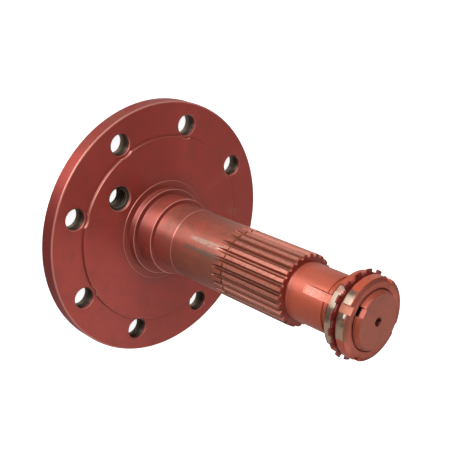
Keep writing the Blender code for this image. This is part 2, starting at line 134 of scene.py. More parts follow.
def milled(section, floor_r, depth, full_z, end_z, cutter_r, degrees, steps):
    # The metal that a disc cutter takes out: its section sinks along the cutter's own arc, then runs straight
    over = 1.5 * MM
    reach = math.acos(1 - (depth + over) / cutter_r)
    path = [(floor_r + cutter_r * (1 - math.cos(reach * k / steps)), full_z - cutter_r * math.sin(reach * k / steps))
            for k in range(steps, -1, -1)] + [(floor_r, end_z)]
    out, side = polar(1, degrees), polar(1, degrees + 90)
    bm = bmesh.new()
    r, z = path[0]
    face = bm.faces.new([bm.verts.new(side * s + out * (r + h) + Vector((0, 0, z))) for s, h in section])
    for (ra, za), (rb, zb) in zip(path, path[1:]):
        grown = bmesh.ops.extrude_face_region(bm, geom=[face] + list(face.edges))["geom"]
        face = [part for part in grown if isinstance(part, bmesh.types.BMFace)][0]
        bmesh.ops.translate(bm, verts=face.verts, vec=out * (rb - ra) + Vector((0, 0, zb - za)))
    bmesh.ops.recalc_face_normals(bm, faces=bm.faces)
    return bm


def piece(name, bm):
    mesh = bpy.data.meshes.new(name)
    bm.to_mesh(mesh)
    bm.free()
    obj = bpy.data.objects.new(name, mesh)
    bpy.context.scene.collection.objects.link(obj)
    return obj


def machined(obj, jobs, edge=0.0):
    # Do each job on the piece, which takes metal away or joins it on, then break the edges and shade it
    tools = []
    for number, (operation, bm) in enumerate(jobs):
        tool = piece(f"{obj.name}_job_{number}", bm)
        job = obj.modifiers.new(tool.name, "BOOLEAN")
        job.operation, job.solver, job.object = operation, "EXACT", tool
        tools.append(tool)
    if edge:
        broken = obj.modifiers.new("broken_edges", "BEVEL")
        broken.width, broken.segments, broken.limit_method = edge, 2, "ANGLE"
        broken.angle_limit = math.radians(35)
        broken.use_clamp_overlap = True
    mesh = bpy.data.meshes.new_from_object(obj.evaluated_get(bpy.context.evaluated_depsgraph_get()))
    obj.modifiers.clear()
    obj.data = mesh
    mesh.name = obj.name
    mesh.shade_smooth()
    mesh.set_sharp_from_angle(angle=math.radians(23))
    for tool in tools:
        bpy.data.objects.remove(tool, do_unlink=True)
    return obj


class Socket:
    # A shader socket on which sums, products and comparisons make their own nodes
    def __init__(self, tree, socket):
        self.tree, self.socket = tree, socket

    def node(self, kind, settings=None, inputs=None, out=0):
        made = self.tree.nodes.new(kind)
        for key, value in (settings or {}).items():
            setattr(made, key, value)
        for key, value in (inputs or {}).items():
            if isinstance(value, Socket):
                self.tree.links.new(value.socket, made.inputs[key])
            else:
                made.inputs[key].default_value = value
        return Socket(self.tree, made.outputs[out])

    def maths(self, operation, *values):
        return self.node("ShaderNodeMath", {"operation": operation}, dict(enumerate(values)))

    def __add__(self, other): return self.maths("ADD", self, other)
    def __radd__(self, other): return self.maths("ADD", other, self)
    def __sub__(self, other): return self.maths("SUBTRACT", self, other)
    def __rsub__(self, other): return self.maths("SUBTRACT", other, self)
    def __mul__(self, other): return self.maths("MULTIPLY", self, other)
    def __rmul__(self, other): return self.maths("MULTIPLY", other, self)
    def __truediv__(self, other): return self.maths("DIVIDE", self, other)
    def __pow__(self, other): return self.maths("POWER", self, other)

    def limit(self):
        return self.node("ShaderNodeClamp", {}, {0: self})

    def rise(self, low, high):
        # 0 below low, 1 above high, and smooth between; the other way round where low is the larger
        return self.node("ShaderNodeMapRange", {"interpolation_type": "SMOOTHSTEP"}, {0: self, 1: low, 2: high})

    def band(self, low, high, soft):
        return self.rise(low - soft, low + soft) * self.rise(high + soft, high - soft)

    def blend(self, first, second):
        # From the first colour to the second as this value goes from 0 to 1
        return self.node("ShaderNodeMix", {"data_type": "RGBA"}, {0: self, 6: first, 7: second}, out=2)

    def wrap(self, centre, step):
        # How far this value is from the nearest of centre, centre + step, centre + 2 steps and so on
        return self.maths("FLOORED_MODULO", self - (centre - step / 2), step) - step / 2

    def noise(self, scale, detail=2.0, rough=0.5, stretch=(1, 1, 1)):
        place = self.node("ShaderNodeMapping", {}, {0: self, 3: stretch})
        return self.node("ShaderNodeTexNoise", {}, {"Vector": place, "Scale": scale, "Detail": detail,
                                                    "Roughness": rough})


class Finish:
    # One material: its shader, and the place on the piece as x, y, z, distance from the axis and angle round it
    def __init__(self, name):
        self.material = bpy.data.materials.new(name)
        self.material.use_nodes = True
        self.tree = self.material.node_tree
        self.shader = self.tree.nodes["Principled BSDF"]
        place = self.tree.nodes.new("ShaderNodeTexCoord")
        self.place = Socket(self.tree, place.outputs["Object"])
        parts = self.place.node("ShaderNodeSeparateXYZ", {}, {0: self.place})
        axes = parts.socket.node.outputs
        self.x, self.y, self.z = (Socket(self.tree, axes[k]) / MM for k in range(3))
        self.r = (self.x * self.x + self.y * self.y) ** 0.5
        self.angle = self.y.maths("ARCTAN2", self.y, self.x) * (180 / math.pi)

    def set(self, **values):
        for name, value in values.items():
            socket = self.shader.inputs[name.replace("_", " ")]
            if isinstance(value, Socket):
                self.tree.links.new(value.socket, socket)
            else:
                socket.default_value = value

    def bump(self, height, distance, strength=1.0):
        return height.node("ShaderNodeBump", {}, {"Height": height, "Distance": distance, "Strength": strength})

    def from_axis(self, ring, phase, step):
        # The distance from the nearest of the holes that lie on a ring, one at phase and the rest step degrees on
        off = self.angle.wrap(phase, step) * (math.pi / 180)
        return (self.r * self.r + ring ** 2 - self.r * off.maths("COSINE", off) * (2 * ring)) ** 0.5

    def normal_z(self):
        geometry = self.tree.nodes.new("ShaderNodeNewGeometry")
        parts = self.place.node("ShaderNodeSeparateXYZ", {}, {0: Socket(self.tree, geometry.outputs["Normal"])})
        return Socket(self.tree, parts.socket.node.outputs[2])


shaft_outline = [
    (FLANGE_R, 0.0, 0.8 * MM), (FLANGE_R, Z_FLANGE, 1.5 * MM),
    (STEP_R + 0.2 * MM, Z_FLANGE, 0.6 * MM), (STEP_R, Z_STEP, 0.5 * MM),
    (RING_R, Z_WEB_TOP, 0.1 * MM), (RING_R - 0.2 * MM, Z_RING, 0.25 * MM),
    (BOSS_R, Z_RING, 0.9 * MM), (BOSS_R, Z_BOSS, 0.45 * MM), (SEAL_R, Z_BOSS, 0.8 * MM),
    (SEAL_R, Z_SEAL, 0.8 * MM), (BEARING_R, Z_SEAL, 0.6 * MM), (BEARING_R, Z_BEARING, 0.1 * MM),
    (BODY_R, Z_BEARING + 1.1 * MM, 0.3 * MM), (BODY_R, 95.0 * MM, 0), (BODY_R, 120.8 * MM, 0),
    (BODY_R, GROOVE_Z - GROOVE_HALF, 0.12 * MM), (GROOVE_R, GROOVE_Z - GROOVE_HALF, 0.2 * MM),
    (GROOVE_R, GROOVE_Z + GROOVE_HALF, 0.2 * MM), (BODY_R, GROOVE_Z + GROOVE_HALF, 0.12 * MM),
    (BODY_R, Z_SPLINE_END - 0.9 * MM, 0.2 * MM), (BODY_R - 0.9 * MM, Z_SPLINE_END, 0.2 * MM),
    (JOURNAL_R - 0.5 * MM, Z_SPLINE_END, 0.4 * MM), (JOURNAL_R - 0.5 * MM, Z_SPLINE_END + 1.5 * MM, 0.2 * MM),
    (JOURNAL_R, Z_SPLINE_END + 2.0 * MM, 0.12 * MM), (JOURNAL_R, Z_JOURNAL, 0.3 * MM),
    (THREAD_RELIEF_R, Z_JOURNAL, 0.3 * MM), (THREAD_RELIEF_R, Z_THREAD + 0.5 * MM, 0), (22.8 * MM, Z_THREAD + MM, 0)]
shaft = piece("axle_forging", turn(shaft_outline, 312, TOOTH_PHASE))

thread = threaded_rod(THREAD_PITCH, THREAD_R, THREAD_R - 0.92 * MM, Z_THREAD, Z_END, 120)
for vert in thread.verts:
    # The thread starts and ends on a cone turned at each end of it
    radius = math.hypot(vert.co.x, vert.co.y)
    cone = min(THREAD_RELIEF_R + 0.15 * MM + (vert.co.z - Z_THREAD), END_R + (Z_END - vert.co.z) * 0.698)
    if radius > cone:
        vert.co.xy *= cone / radius

bolts = [polar(BOLT_CIRCLE_R, BOLT_PHASE + 45 * k) for k in range(8)]
bolt_cutter = [(BOLT_HOLE_R + BOLT_CHAMFER + MM, -MM, 0), (BOLT_HOLE_R, BOLT_CHAMFER, 0.3 * MM),
               (BOLT_HOLE_R, Z_FLANGE - BOLT_CHAMFER, 0.3 * MM), (BOLT_HOLE_R + BOLT_CHAMFER + MM, Z_FLANGE + MM, 0)]
bolt_holes = gather([moved(turn(bolt_cutter, 64), place) for place in bolts])
spot_cutter = [(SPOT_FACE_R - 0.3 * MM, SPOT_FACE_Z, 0.15 * MM), (SPOT_FACE_R, SPOT_FACE_Z + 0.3 * MM, 0.1 * MM),
               (SPOT_FACE_R, Z_STEP + MM, 0)]
spot_faces = gather([moved(turn(spot_cutter, 96), place) for place in bolts])
jacks = [polar(JACK_CIRCLE_R, JACK_PHASE + 180 * k) for k in range(2)]
jack_threads = gather([moved(threaded_rod(JACK_PITCH, JACK_R, JACK_MINOR_R, -MM, JACK_TOP_Z + MM, 64), place)
                       for place in jacks])
lip_z = JACK_TOP_Z - JACK_MOUTH_R + JACK_LIP_R
mouth_cutter = [(JACK_MOUTH_R + MM, JACK_TOP_Z + MM, 0), (JACK_LIP_R, lip_z, 0.2 * MM),
                (JACK_MINOR_R - MM, lip_z - 0.64 * (JACK_LIP_R - JACK_MINOR_R + MM), 0)]
jack_mouths = gather([moved(turn(mouth_cutter, 72), place) for place in jacks])
outer_relief = turn([(RELIEF_R + 0.5 * MM, -0.5 * MM, 0), (RELIEF_R, 0.4 * MM, 0.2 * MM),
                     (RELIEF_R, RELIEF_DEPTH, 0.6 * MM), (1.0 * MM, RELIEF_DEPTH, 0)], 156)
CENTRE = [(3.75 + 0.577, -1.0), (1.7, 3.55), (1.7, 8.0)]
centres = gather([turn([(r * MM, face - sign * depth * MM, 0) for r, depth in CENTRE], 48, 1.3)
                  for face, sign in ((Z_END, 1), (RELIEF_DEPTH, -1))])

DEPTH = BODY_R - ROOT_R
lean = math.tan(math.radians(FLANK_ANGLE))
half, top, flare = SPACE_FLOOR / 2, DEPTH - 0.28 * MM, 1.0 * MM
space = [(-half + 0.35 * MM, 0), (half - 0.35 * MM, 0), (half + 0.05 * MM, 0.3 * MM), (half + top * lean, top),
         (half + top * lean + flare, top + flare), (-half - top * lean - flare, top + flare),
         (-half - top * lean, top), (-half - 0.05 * MM, 0.3 * MM)]
spaces = gather([milled(space, ROOT_R, DEPTH, FULL_DEPTH_Z, Z_SPLINE_END + MM, SPLINE_CUTTER_R,
                        TOOTH_PHASE + (k + 0.5) * 360 / TEETH, 14) for k in range(TEETH)])
KEY_DEPTH = JOURNAL_R - KEY_FLOOR_R
half = KEY_WIDTH / 2
key_section = [(-half + 0.3 * MM, 0), (half - 0.3 * MM, 0), (half, 0.3 * MM), (half, KEY_DEPTH + 2 * MM),
               (-half, KEY_DEPTH + 2 * MM), (-half, 0.3 * MM)]
key_full = KEY_START_Z + math.sqrt(KEY_CUTTER_R ** 2 - (KEY_CUTTER_R - KEY_DEPTH) ** 2)
keyway = milled(key_section, KEY_FLOOR_R, KEY_DEPTH, key_full, Z_END + MM, KEY_CUTTER_R, KEY_PHASE, 24)

machined(shaft, [("DIFFERENCE", spaces), ("UNION", thread), ("DIFFERENCE", spot_faces), ("DIFFERENCE", bolt_holes),
                 ("DIFFERENCE", jack_threads), ("DIFFERENCE", jack_mouths), ("DIFFERENCE", outer_relief),
                 ("DIFFERENCE", centres), ("DIFFERENCE", keyway)])

FLANGE_RED = (0.300, 0.030, 0.019, 1)
SHAFT_RED = (0.380, 0.064, 0.027, 1)
DUSTY_RED = (0.420, 0.065, 0.048, 1)
SHADE_RED = (0.170, 0.011, 0.008, 1)
BROWN_RED = (0.150, 0.034, 0.022, 1)
RUST_BROWN = (0.190, 0.054, 0.027, 1)
SPACE_BROWN = (0.140, 0.043, 0.028, 1)
THIN_PRIMER = (0.290, 0.105, 0.060, 1)
HIGHLIGHT_AND_WEAR_PINK = (0.520, 0.210, 0.165, 1)
PALE_SCUFF = (0.280, 0.220, 0.175, 1)
BARE_STEEL = (0.330, 0.250, 0.190, 1)
DULL_STEEL = (0.130, 0.085, 0.060, 1)
BORE_STEEL = (0.500, 0.410, 0.290, 1)
BORE_SHADE = (0.042, 0.021, 0.014, 1)
SHADE_BLACK = (0.032, 0.013, 0.009, 1)
GRAIN_HEIGHT = 0.00005


def primer_coat(name, brushed, ior):
    # The primer over turned surfaces shows their fine grooves as a brushed sheen, and over faced ones it doesn't
    primer = Finish(name)
    r, z, angle = primer.r, primer.z, primer.angle
    cloud = primer.place.noise(70, 5, 0.65)
    patch = primer.place.noise(30, 4, 0.6)
    mottle = primer.place.noise(170, 4, 0.65)
    speck = primer.place.noise(520, 3, 0.6)
    streak = primer.place.noise(260, 4, 0.6, (1, 1, 0.12))
    level = primer.normal_z().rise(0.5, 0.95)
    hub, bearing_seat, end_face = z.band(19.2, 66.8, 0.2), z.band(43.7, 66.8, 0.2), level * z.rise(270, 274)
    plain_body, spline = z.band(67, 127, 4), z.band(127, 202, 3)
    # The spray is a deeper red on the flange and more orange further along the shaft, which also paints the shade
    # near the flange; level faces are painted lighter towards about -27 degrees, a painted highlight
    coat = z.rise(5, 145).blend(FLANGE_RED, SHAFT_RED)
    coat = (hub * 0.4).blend(coat, DUSTY_RED)
    coat = (level * (primer.x * 0.9 - primer.y * 0.45).rise(10, 105) * 0.5).blend(coat, DUSTY_RED)
    coat = (cloud.rise(0.42, 0.70) * 0.3 + speck.rise(0.5, 0.8) * 0.3 + end_face * 0.2).blend(coat, BROWN_RED)
    # The end face is painted paler, a painted sheen
    coat = (end_face * 0.13).blend(coat, PALE_SCUFF)
    # It is thin and dusty on the hub, the bearing seat, the plain body, the spline and the flange's edge; on the
    # rim's side towards the lamps the pale primer also paints a highlight
    thin = z.band(19.2, 43.7, 0.2) * 0.14 + bearing_seat * 0.20 + plain_body * 0.04 + spline * 0.30
    thin = thin + cloud.rise(0.42, 0.62) * z.band(43.7, 202, 1) * 0.25
    thin = thin + r.rise(122.7, 123.0) * angle.band(-170, -115, 12) * cloud.rise(0.35, 0.6) * 0.45
    coat = thin.blend(coat, THIN_PRIMER)
    # Brown staining on the body and the spline, with painted shade on the body's side away from the key lamp and on
    # the spline's lower side
    stain_and_shade = (patch + (streak - 0.5) * 0.4).rise(0.42, 0.60) * z.band(46, 128, 3) * 0.5 + z.band(128, 202, 3) * 0.36
    shaded = angle.band(-86, -30, 5) * (1 - level)
    stain_and_shade = stain_and_shade + shaded * z.band(66, 128, 6) * 0.4 + angle.band(-62, 5, 12) * z.band(128, 202, 3) * 0.25
    coat = stain_and_shade.limit().blend(coat, RUST_BROWN)
    coat = (mottle.rise(0.50, 0.64) * z.band(50, 128, 6) * 0.45).blend(coat, SPACE_BROWN)
    # Painted shade on the hub's side away from the key lamp
    coat = (shaded * hub * 0.4).blend(coat, SHADE_RED)
    # Painted shade at the foot of the hub, on the rim's side away from the lamps and in the thread relief beside the
    # nuts, with darker brown on the rim, the bearing seat and the body
    rim = r.rise(122.6, 122.8)
    grime_and_shade = r.rise(64, 42) * z.rise(45, 26) * 0.45 + rim * (angle.band(-92, -42, 6) * 0.5 + 0.25)
    grime_and_shade = grime_and_shade + bearing_seat * 0.15 + z.band(67.5, 128, 2) * 0.26
    grime_and_shade = grime_and_shade + z.band(241.4, 250, 0.2) * angle.rise(-85, -72) * 0.55
    coat = grime_and_shade.limit().blend(coat, rim.blend(BROWN_RED, SHADE_RED))
    # Painted shade on the level faces of the hub's shoulders and on the spline's end face
    shaded_shoulders = level * (z.band(24.5, 44, 0.5) * 0.5 + z.band(201.5, 203.2, 0.3) * 0.8)
    coat = shaded_shoulders.blend(coat, SHADE_RED)
    # Painted highlights along the turned edges, where the primer is also drawn thin, stronger on the side that faces
    # the key lamp.
    # Each edge has its radius and height, how far the highlight spreads, and how strong it is.
    toward_key_lamp = primer.y.rise(40, -10) * 0.75 + 0.15
    for edge_r, edge_z, width, highlight_and_wear_strength in ((48.3, 19.0, 0.55, 0.8), (41.4, 25.2, 0.65, 0.85), (36.2, 43.3, 0.65, 0.95),
                                        (32.0, 67.0, 0.5, 0.6), (122.6, 14.4, 1.3, 0.95), (25.2, 204.7, 0.5, 0.7)):
        distance = ((r - edge_r) * (r - edge_r) + (z - edge_z) * (z - edge_z)) ** 0.5
        coat = (distance.rise(width, width * 0.4) * toward_key_lamp * highlight_and_wear_strength).blend(coat, HIGHLIGHT_AND_WEAR_PINK)
    # The flange's step wall is painted dark at its foot as painted shade, and pink along its top edge as a painted
    # highlight, strongest on the side towards the key lamp
    step = r.band(90.0, 91.3, 0.3)
    coat = (step * z.band(14.9, 16.6, 0.3) * 0.8).blend(coat, BROWN_RED)
    coat = (step * z.band(16.7, 17.7, 0.2) * (angle.band(-130, -84, 10) * 0.6 + 0.15)).blend(coat, HIGHLIGHT_AND_WEAR_PINK)
    # Scuffs on the plain body run out into the spline, and there is a small one on the flange
    body = z.band(69, 130, 3) * r.band(31.0, 32.6, 0.3)
    ragged = angle + (streak - 0.5) * 7
    widening = z.rise(88, 128) * 1.8
    pale = (ragged + widening).rise(-103.5, -101) * (ragged - widening * 0.3).rise(-94.5, -97) * z.band(88, 130, 4)
    grey = ragged.rise(-89, -86) * (ragged - widening).rise(-79, -82) * z.band(84, 130, 5)
    worn = (body * pale * (speck + streak * 0.4).rise(0.42, 0.78) * 0.62).limit()
    stained = (body * grey * (speck + streak * 0.4).rise(0.38, 0.70) * 0.8).limit()
    coat = stained.blend(worn.blend(coat, PALE_SCUFF), DULL_STEEL)
    scuff = primer.x.band(-46, -38, 2) * primer.y.band(72, 90, 4) * level
    coat = (scuff * (speck + streak * 0.5).rise(0.62, 0.85) * 0.5).blend(coat, THIN_PRIMER)
    # The floors of the spline's spaces are darker, and the tooth flanks between about -72 and 15 degrees carry
    # painted shade; the tops of the teeth are rubbed pink, which also paints their highlight, and the keyway's floor
    # is pale and stippled
    flanks = r.rise(31.7, 31.2) * angle.band(-72, 15, 8) * z.band(124, 201.4, 1.0)
    dark_spaces_and_shaded_flanks = (r.rise(30.6, 29.2) * z.band(124, 200.5, 1.0) + flanks).limit() * (streak.rise(0.25, 0.6) * 0.25 + 0.6)
    coat = dark_spaces_and_shaded_flanks.blend(coat, SPACE_BROWN)
    key_floor = r.rise(24.7, 24.2) * z.band(219, 241, 0.5)
    stipple = primer.place.noise(950, 1, 0.5)
    coat = (key_floor * (stipple.rise(0.42, 0.58) * 0.36 + 0.02)).blend(coat, PALE_SCUFF)
    tips = r.rise(31.2, 31.6) * z.band(136, 201, 1) * speck.rise(0.35, 0.6)
    coat = (tips * 0.34).blend(coat, HIGHLIGHT_AND_WEAR_PINK)
    # Drilled walls are bare, oily steel, painted pale near the bottom as a painted reflection of the table and dark
    # towards the top and in the tapped holes' thread roots as painted shade; the edges round them and the spot
    # faces' walls get painted highlights
    bolt_edge, jack_edge = BOLT_HOLE_R / MM, JACK_LIP_R / MM
    bolt_axis = primer.from_axis(BOLT_CIRCLE_R / MM, BOLT_PHASE, 45)
    jack_axis = primer.from_axis(JACK_CIRCLE_R / MM, JACK_PHASE, 180)
    rims = bolt_axis.band(bolt_edge + 0.5, bolt_edge + 1.2, 0.2) * z.rise(13.3, 14)
    rims = rims + jack_axis.band(jack_edge + 0.1, jack_edge + 1.3, 0.2) * z.rise(16, 17)
    scallops = bolt_axis.band(12.2, 12.9, 0.15) * r.band(85, 91.5, 0.5) * z.band(15.1, 17.9, 0.15)
    coat = (rims * 0.38 + scallops * 0.85).blend(coat, HIGHLIGHT_AND_WEAR_PINK)
    drilled = (bolt_axis.rise(bolt_edge + 0.4, bolt_edge + 0.1) + jack_axis.rise(jack_edge + 0.2, jack_edge)).limit()
    roots = jack_axis.rise(jack_edge, jack_edge - 0.3) * jack_axis.rise(9.2, 10.2)
    tapped = jack_axis.rise(jack_edge + 1, jack_edge)
    bore = z.rise(3, 9) * (0.92 - tapped * 0.42) + tapped * 0.25 + roots * 0.45
    bore = bore.limit().blend(BORE_STEEL, BORE_SHADE)
    bore = (z.rise(10, 13.5) * bolt_axis.rise(bolt_edge + 3, bolt_edge + 1) * 0.6).blend(bore, BROWN_RED)
    coat = drilled.blend(coat, bore)
    # The keyway's pocket inside the outer nut is painted black as painted shade, and the centre hole is painted dark
    keyway_shade_and_dark_centre = (r.rise(3.9, 3.5) * z.rise(272, 273) * 0.75
             + angle.band(-108, -84, 2) * r.rise(25.1, 24.9) * z.band(260, 273.2, 0.4)).limit()
    coat = keyway_shade_and_dark_centre.blend(coat, SHADE_BLACK)
    metal = 0.5 + worn * 0.2 + stained * 0.3 + drilled * 0.1 + keyway_shade_and_dark_centre * 0.4 + rim * 0.2 + dark_spaces_and_shaded_flanks * 0.4
    rough = 0.46 - z.rise(60, 70) * z.rise(210, 200) * 0.04 + speck * 0.08 + level * 0.12
    rough = rough + drilled * 0.15 + keyway_shade_and_dark_centre * 0.3 + flanks * 0.15
    primer.set(Base_Color=coat, Metallic=metal, Roughness=rough, Normal=primer.bump(speck, GRAIN_HEIGHT, 0.4))
    primer.set(Anisotropic=brushed, Anisotropic_Rotation=0.25, Specular_IOR_Level=1.0, IOR=ior)
    return primer.material


shaft.data.materials.clear()
shaft.data.materials.append(primer_coat("primer_on_turned_steel", brushed=0.78, ior=1.53))
shaft.data.materials.append(primer_coat("primer_on_faced_steel", brushed=0.0, ior=1.41))
for face in shaft.data.polygons:
    face.material_index = 1 if abs(face.normal.z) > 0.8 else 0
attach(shaft, "root")
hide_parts("axle_shaft")

# ---- Inner ring nut: a slotted steel nut run up the thread to set the bearing. Its primer is worn to bare steel
# where a hook spanner and the washer's bent tab have rubbed it.

NUT_R, NUT_FACE_R, BORE_R, BORE_CHAMFER = 34.3 * MM, 30.6 * MM, 25.1 * MM, 1.1 * MM
SLOT_FLOOR_R, SLOT_W, BROKEN_EDGE = 31.0 * MM, 7.2 * MM, 0.12 * MM


def slots(low, high, phase):
    # Four bars across a nut's edge, for the slots that a hook spanner turns
    parts, bar_deep = [], 6 * MM
    for k in range(4):
        bm = bmesh.new()
        bmesh.ops.create_cube(bm, size=1.0)
        bmesh.ops.scale(bm, verts=bm.verts, vec=(bar_deep, SLOT_W, high - low))
        bmesh.ops.translate(bm, verts=bm.verts, vec=(SLOT_FLOOR_R + bar_deep / 2, 0, (low + high) / 2))
        quarter = Matrix.Rotation(math.radians(phase + 90 * k), 3, "Z")
        bmesh.ops.rotate(bm, verts=bm.verts, cent=(0, 0, 0), matrix=quarter)
        parts.append(bm)
    return gather(parts)


INNER_LOW, INNER_HIGH, INNER_SLOT_PHASE = 251.2 * MM, 259.2 * MM, -113.46
inner_outline = [(BORE_R + BORE_CHAMFER, INNER_LOW, 0), (NUT_FACE_R, INNER_LOW, 0.2 * MM),
                 (NUT_R, INNER_LOW + 1.9 * MM, 0.3 * MM), (NUT_R, INNER_HIGH, 0.35 * MM),
                 (BORE_R + BORE_CHAMFER, INNER_HIGH, 0), (BORE_R, INNER_HIGH - BORE_CHAMFER, 0),
                 (BORE_R, INNER_LOW + BORE_CHAMFER, 0)]
inner_nut = piece("inner_slotted_nut", turn(inner_outline, 192, ring=True))
machined(inner_nut, [("DIFFERENCE", slots(INNER_LOW - MM, INNER_HIGH + MM, INNER_SLOT_PHASE))], BROKEN_EDGE)
KHAKI_STEEL = (0.42, 0.29, 0.20, 1)
inner_finish = Finish("worn_primer_inner_nut")
r, z, angle = inner_finish.r, inner_finish.z, inner_finish.angle
cloud, speck = inner_finish.place.noise(160, 4, 0.6), inner_finish.place.noise(700, 3, 0.6)
ragged = angle + (cloud - 0.5) * 22
rubbed = (ragged.band(-118, -30, 4) * r.rise(30.6, 30.9) * ((speck - 0.5) * 0.7 + 1)).limit()
coat = (cloud.rise(0.45, 0.75) * 0.5).blend(SHAFT_RED, BROWN_RED)
# Where rubbed, the steel is pale on the side towards the key lamp, dull between about -86 and -66 degrees and khaki
# beyond: painted light and shade on the worn steel
steel = (ragged.band(-86, -66, 4)).blend(ragged.rise(-75, -60).blend(BARE_STEEL, KHAKI_STEEL), DULL_STEEL)
coat = rubbed.blend(coat, steel)
inner_finish.set(Base_Color=coat, Metallic=0.5 + rubbed * 0.4, Roughness=0.48 - rubbed * 0.06,
                 Anisotropic=0.7, Anisotropic_Rotation=0.25)
inner_finish.set(Normal=inner_finish.bump(speck, GRAIN_HEIGHT, 0.4))
inner_nut.data.materials.clear()
inner_nut.data.materials.append(inner_finish.material)
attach(inner_nut, "root")
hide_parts("inner_ring_nut")

# ---- Tab washer: stamped from steel strip. A tongue in the bore lies in the keyway so that it can't turn, and one
# narrow tab is bent back into a slot of the inner nut to lock it.

WASHER_LOW, WASHER_T, ROOT_CIRCLE_R, TIP_R = 259.5 * MM, 1.3 * MM, 33.9 * MM, 37.2 * MM
TABS, TAB_W, TAB_PHASE = 17, 6.5 * MM, -98.2
BENT_W, BENT_AT, BEND_R, BENT_LEG, BENT_SLIT = 3.0 * MM, -110.3, 1.4 * MM, 3.0 * MM, 0.45 * MM


def off_ray(radius, offset, degrees):
    return polar(math.sqrt(radius ** 2 - offset ** 2), degrees, WASHER_LOW) + polar(offset, degrees + 90)


rim = []
pitch = 360 / TABS
half_tab = math.degrees(math.asin(TAB_W / 2 / ROOT_CIRCLE_R))
for k in range(TABS):
    at = TAB_PHASE + pitch * k
    rim += [off_ray(ROOT_CIRCLE_R, -TAB_W / 2, at)]
    rim += [off_ray(TIP_R, TAB_W / 2 * share / 3, at) for share in (-3, -2, -1, 0, 1, 2, 3)]
    rim += [off_ray(ROOT_CIRCLE_R, TAB_W / 2, at)]
    if k < TABS - 1:
        rim += [polar(ROOT_CIRCLE_R, at + half_tab + (pitch - 2 * half_tab) * share / 5, WASHER_LOW)
                for share in (1, 2, 3, 4)]
notch = BENT_W / 2 + BENT_SLIT
rim.append(off_ray(ROOT_CIRCLE_R, -notch, BENT_AT))
bent_corner = len(rim) + 1
rim += [off_ray(SLOT_FLOOR_R, offset, BENT_AT) for offset in (-notch, -BENT_W / 2, BENT_W / 2, notch)]
rim.append(off_ray(ROOT_CIRCLE_R, notch, BENT_AT))
tongue = KEY_WIDTH / 2 - 0.3 * MM
side = math.degrees(math.asin(tongue / BORE_R))
bore = [polar(BORE_R, KEY_PHASE + side + (360 - 2 * side) * k / 120, WASHER_LOW) for k in range(121)]
reach = math.hypot(KEY_FLOOR_R + 0.3 * MM, tongue)
bore += [off_ray(reach, -tongue, KEY_PHASE), off_ray(reach, tongue, KEY_PHASE)]

plate = bmesh.new()
loops = [[plate.verts.new(p) for p in loop] for loop in (rim, bore)]
edges = [plate.edges.new(pair) for loop in loops for pair in zip(loop, loop[1:] + loop[:1])]
bmesh.ops.triangle_fill(plate, use_beauty=True, edges=edges, normal=(0, 0, 1))
flat = list(plate.faces)
grown = bmesh.ops.extrude_face_region(plate, geom=flat + list({e for f in flat for e in f.edges}))["geom"]
bmesh.ops.translate(plate, verts=[part for part in grown if isinstance(part, bmesh.types.BMVert)],
                    vec=(0, 0, WASHER_T))
first, second = loops[0][bent_corner], loops[0][bent_corner + 1]
wall = [f for f in first.link_faces if second in f.verts and len({round(v.co.z, 6) for v in f.verts}) > 1]
bend = bmesh.ops.spin(plate, geom=wall + list(wall[0].edges), angle=math.pi / 2, steps=8,
                      cent=(first.co + second.co) / 2 - Vector((0, 0, BEND_R)),
                      axis=Vector((0, 0, 1)).cross(polar(1, BENT_AT)))
tip = [part for part in bend["geom_last"] if isinstance(part, bmesh.types.BMFace)]
grown = bmesh.ops.extrude_face_region(plate, geom=tip + list(tip[0].edges))["geom"]
bmesh.ops.translate(plate, verts=[part for part in grown if isinstance(part, bmesh.types.BMVert)],
                    vec=(0, 0, -BENT_LEG))
bmesh.ops.recalc_face_normals(plate, faces=plate.faces)
washer = machined(piece("tab_washer", plate), [], BROKEN_EDGE)
washer_finish = Finish("primer_on_tab_washer")
tint = washer_finish.place.noise(300, 3, 0.6)
bent = washer_finish.angle.band(-115, -106, 0.5) * washer_finish.z.rise(259.6, 259)
coat = tint.rise(0.4, 0.7).blend((0.12, 0.016, 0.013, 1), (0.25, 0.030, 0.022, 1))
coat = (bent * 0.75).blend(coat, HIGHLIGHT_AND_WEAR_PINK)
washer_finish.set(Base_Color=coat, Metallic=0.3, Roughness=0.5)
washer.data.materials.clear()
washer.data.materials.append(washer_finish.material)
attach(washer, "root")
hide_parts("tab_lock_washer")

# ---- Outer ring nut: a second slotted nut, tightened on the washer. Both of its edges are chamfered, the inner one
# more, and its primer is rubbed to steel beside the slot that the spanner used.

OUTER_LOW, OUTER_HIGH, OUTER_SLOT_PHASE = 261.1 * MM, 273.4 * MM, -91.0
outer_outline = [(BORE_R + BORE_CHAMFER, OUTER_LOW, 0), (NUT_FACE_R, OUTER_LOW, 0.2 * MM),
                 (NUT_R, OUTER_LOW + 3.4 * MM, 0.4 * MM), (NUT_R, OUTER_HIGH - 1.3 * MM, 0.3 * MM),
                 (NUT_FACE_R, OUTER_HIGH, 0.3 * MM), (BORE_R + BORE_CHAMFER, OUTER_HIGH, 0.1 * MM),
                 (BORE_R, OUTER_HIGH - BORE_CHAMFER, 0), (BORE_R, OUTER_LOW + BORE_CHAMFER, 0)]
outer_nut = piece("outer_slotted_nut", turn(outer_outline, 192, ring=True))
machined(outer_nut, [("DIFFERENCE", slots(OUTER_LOW - MM, OUTER_HIGH + MM, OUTER_SLOT_PHASE))], BROKEN_EDGE)
outer_finish = Finish("worn_primer_outer_nut")
r, z, angle = outer_finish.r, outer_finish.z, outer_finish.angle
cloud, speck = outer_finish.place.noise(150, 4, 0.6), outer_finish.place.noise(700, 3, 0.6)
outside = r.rise(32.6, 33.4)
ragged = angle + (cloud - 0.5) * 20
